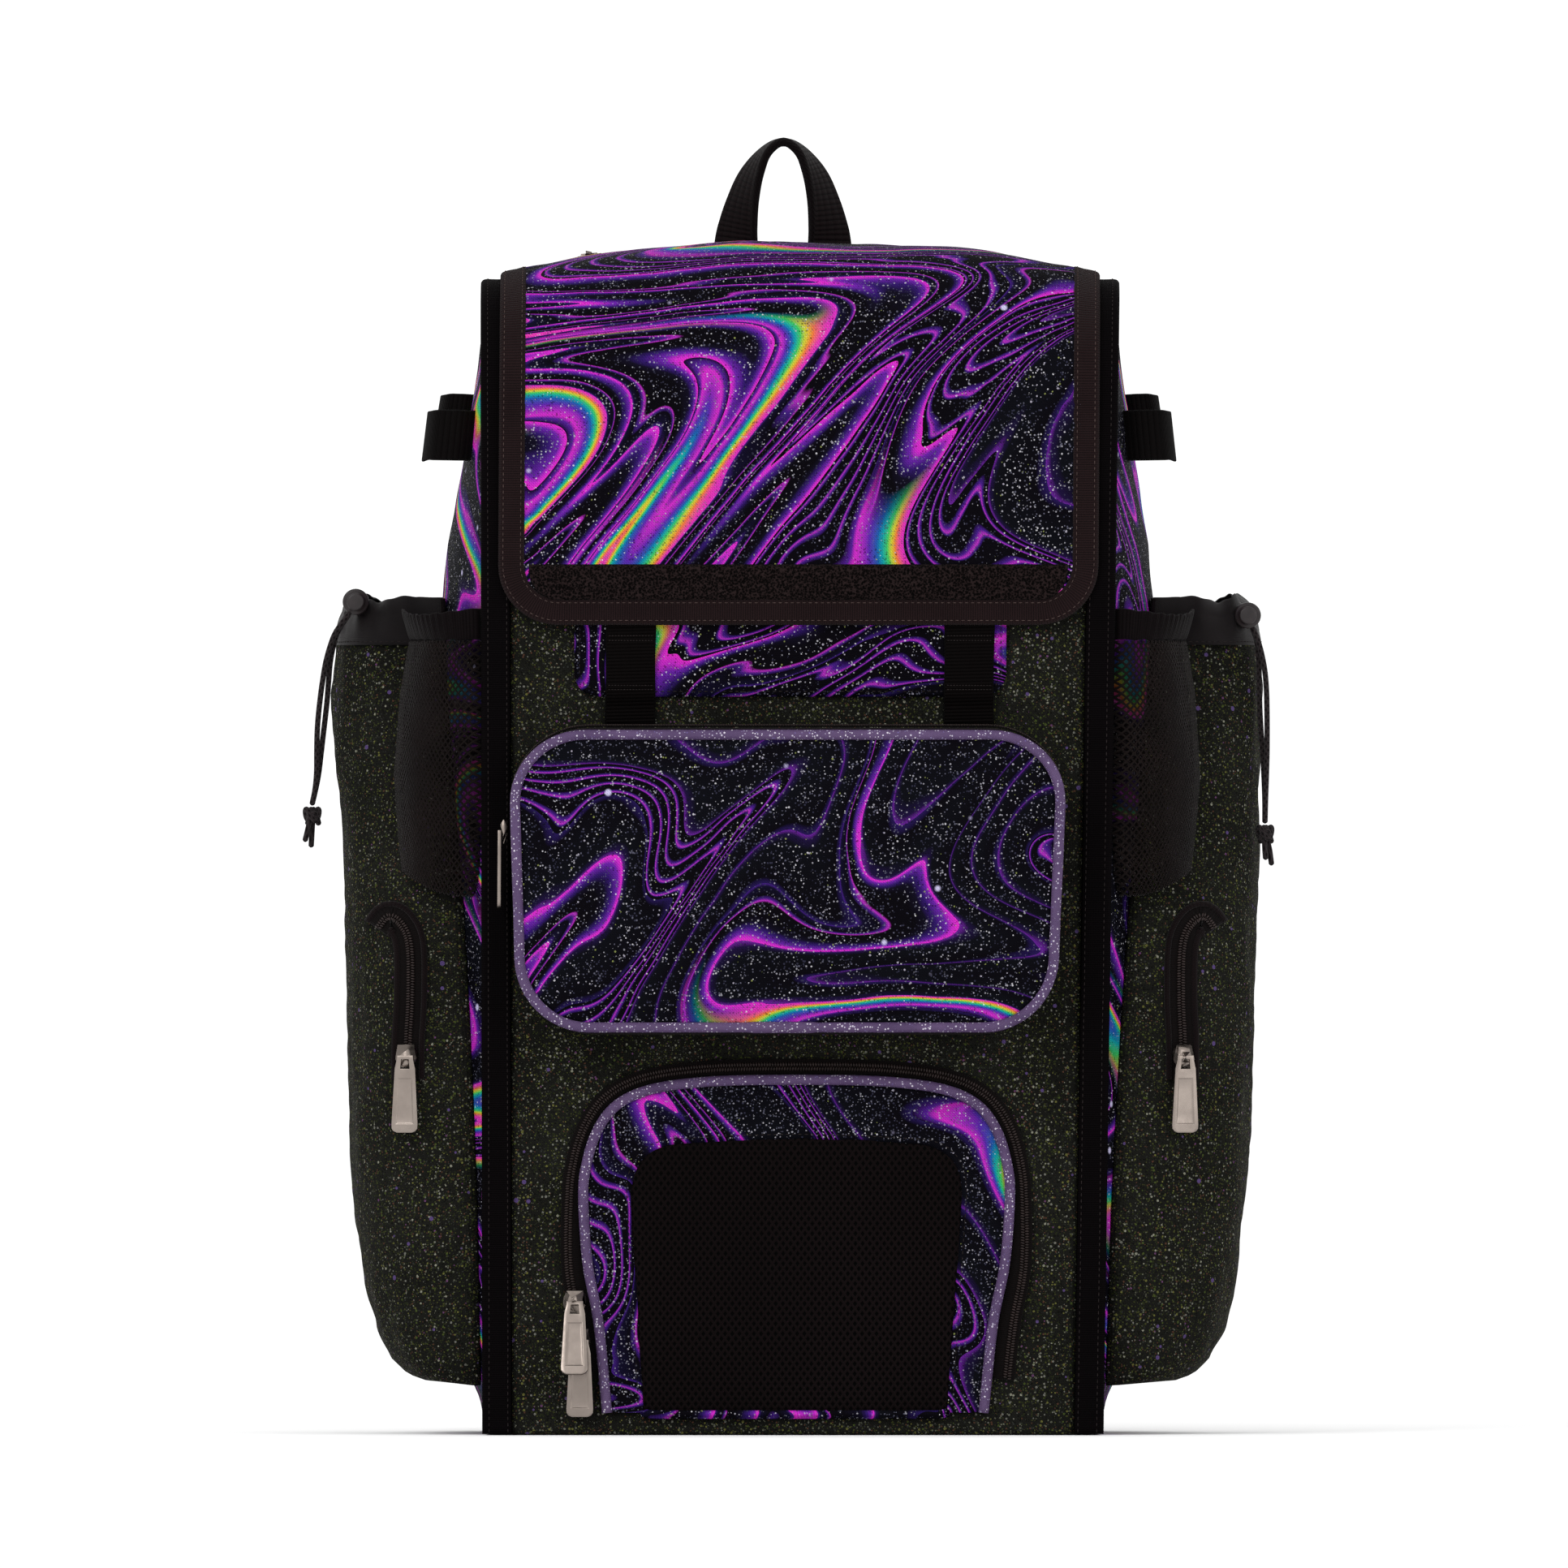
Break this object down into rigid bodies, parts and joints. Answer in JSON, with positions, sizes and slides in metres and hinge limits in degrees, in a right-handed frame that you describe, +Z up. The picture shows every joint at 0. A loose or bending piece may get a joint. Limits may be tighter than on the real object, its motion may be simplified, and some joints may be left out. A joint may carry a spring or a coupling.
{
  "type": "baseball bat backpack",
  "caption": "Upright sports backpack with a top flap, a boxy middle pocket, an arched lower pocket, open bat sleeves and mesh bottle pockets on its sides.",
  "frame": {"origin": "on the ground, at the middle of the bag's width and depth without its drawcord tails", "axes": "+Z up, +X to the right seen from the front, the front faces -Y"},
  "size_m": [0.4877, 0.2922, 0.6492],
  "materials": {
    "marbled_fabric": "printed woven polyester, marbled galaxy pattern",
    "speckled_fabric": "printed woven polyester, fine speckles",
    "black_fabric": "woven polyester",
    "black_webbing": "ribbed webbing",
    "brown_binding": "ribbed grosgrain",
    "purple_piping": "smooth satin piping",
    "black_mesh": "stretch mesh",
    "black_zip": "woven tape with nylon coil",
    "nickel": "satin nickel plate",
    "black_cord": "braided cord",
    "black_plastic": "moulded"
  },
  "bodies": {
    "bag": {"side_panel_left": "marbled_fabric", "side_panel_right": "marbled_fabric", "under_flap_panel": "marbled_fabric", "mid_pocket_face": "marbled_fabric", "arch_door": "marbled_fabric", "flap": "marbled_fabric", "front_panel": "speckled_fabric", "bat_sleeve_left": "speckled_fabric", "bat_sleeve_right": "speckled_fabric", "base_panel": "black_fabric", "back_panel": "black_fabric", "mid_pocket_gusset": "black_fabric", "sleeve_collar_left": "black_fabric", "sleeve_collar_right": "black_fabric", "bottle_hem_left": "black_fabric", "bottle_hem_right": "black_fabric", "shoulder_strap_left": "black_fabric", "shoulder_strap_right": "black_fabric", "edge_binding_left": "black_webbing", "edge_binding_right": "black_webbing", "strap_left": "black_webbing", "strap_right": "black_webbing", "bat_loop_front_left": "black_webbing", "bat_loop_front_right": "black_webbing", "bat_loop_rear_left": "black_webbing", "bat_loop_rear_right": "black_webbing", "grab_handle": "black_webbing", "flap_loop_strip": "black_webbing", "flap_binding": "brown_binding", "mid_pocket_piping": "purple_piping", "arch_piping": "purple_piping", "mesh_window": "black_mesh", "bottle_pocket_left": "black_mesh", "bottle_pocket_right": "black_mesh", "mid_pocket_zip": "black_zip", "arch_zip": "black_zip", "side_zip_left": "black_zip", "side_zip_right": "black_zip", "top_zip": "black_zip", "mid_pocket_slider": "nickel", "arch_slider_upper": "nickel", "arch_slider_lower": "nickel", "side_slider_left": "nickel", "side_slider_right": "nickel", "top_slider": "nickel", "drawcord_left_outer": "black_cord", "drawcord_left_inner": "black_cord", "drawcord_right_outer": "black_cord", "drawcord_right_inner": "black_cord", "cord_knot_left": "black_cord", "cord_knot_right": "black_cord", "cord_lock_left": "black_plastic", "cord_lock_right": "black_plastic"},
    "mid_pocket_pull": {"mid_pocket_pull": "nickel"},
    "arch_pull_upper": {"arch_pull_upper": "nickel"},
    "arch_pull_lower": {"arch_pull_lower": "nickel"},
    "side_pull_left": {"side_pull_left": "nickel"},
    "side_pull_right": {"side_pull_right": "nickel"},
    "top_pull": {"top_pull": "nickel"}
  },
  "joints": [
    {"name": "mid_pocket_pull_hinge", "type": "hinge", "parent": "bag", "child": "mid_pocket_pull", "pos_m": [-0.1469, -0.12408, 0.30048], "axis": [0, 1, 0], "range_deg": [0, 165]},
    {"name": "arch_pull_upper_hinge", "type": "hinge", "parent": "bag", "child": "arch_pull_upper", "pos_m": [-0.10948, -0.1124, 0.06531], "axis": [-1, 0, 0], "range_deg": [0, 145]},
    {"name": "arch_pull_lower_hinge", "type": "hinge", "parent": "bag", "child": "arch_pull_lower", "pos_m": [-0.10678, -0.1124, 0.04621], "axis": [-1, 0, 0], "range_deg": [0, 30]},
    {"name": "side_pull_left_hinge", "type": "hinge", "parent": "bag", "child": "side_pull_left", "pos_m": [-0.19438, -0.09536, 0.188], "axis": [-0.9618, 0.2739, 0], "range_deg": [0, 165]},
    {"name": "side_pull_right_hinge", "type": "hinge", "parent": "bag", "child": "side_pull_right", "pos_m": [0.19556, -0.09536, 0.188], "axis": [-0.9618, -0.2739, 0], "range_deg": [0, 165]},
    {"name": "top_pull_hinge", "type": "hinge", "parent": "bag", "child": "top_pull", "pos_m": [-0.10282, 0.06534, 0.58979], "axis": [0.9955, 0.0316, 0.0888], "range_deg": [0, 160]}
  ]
}
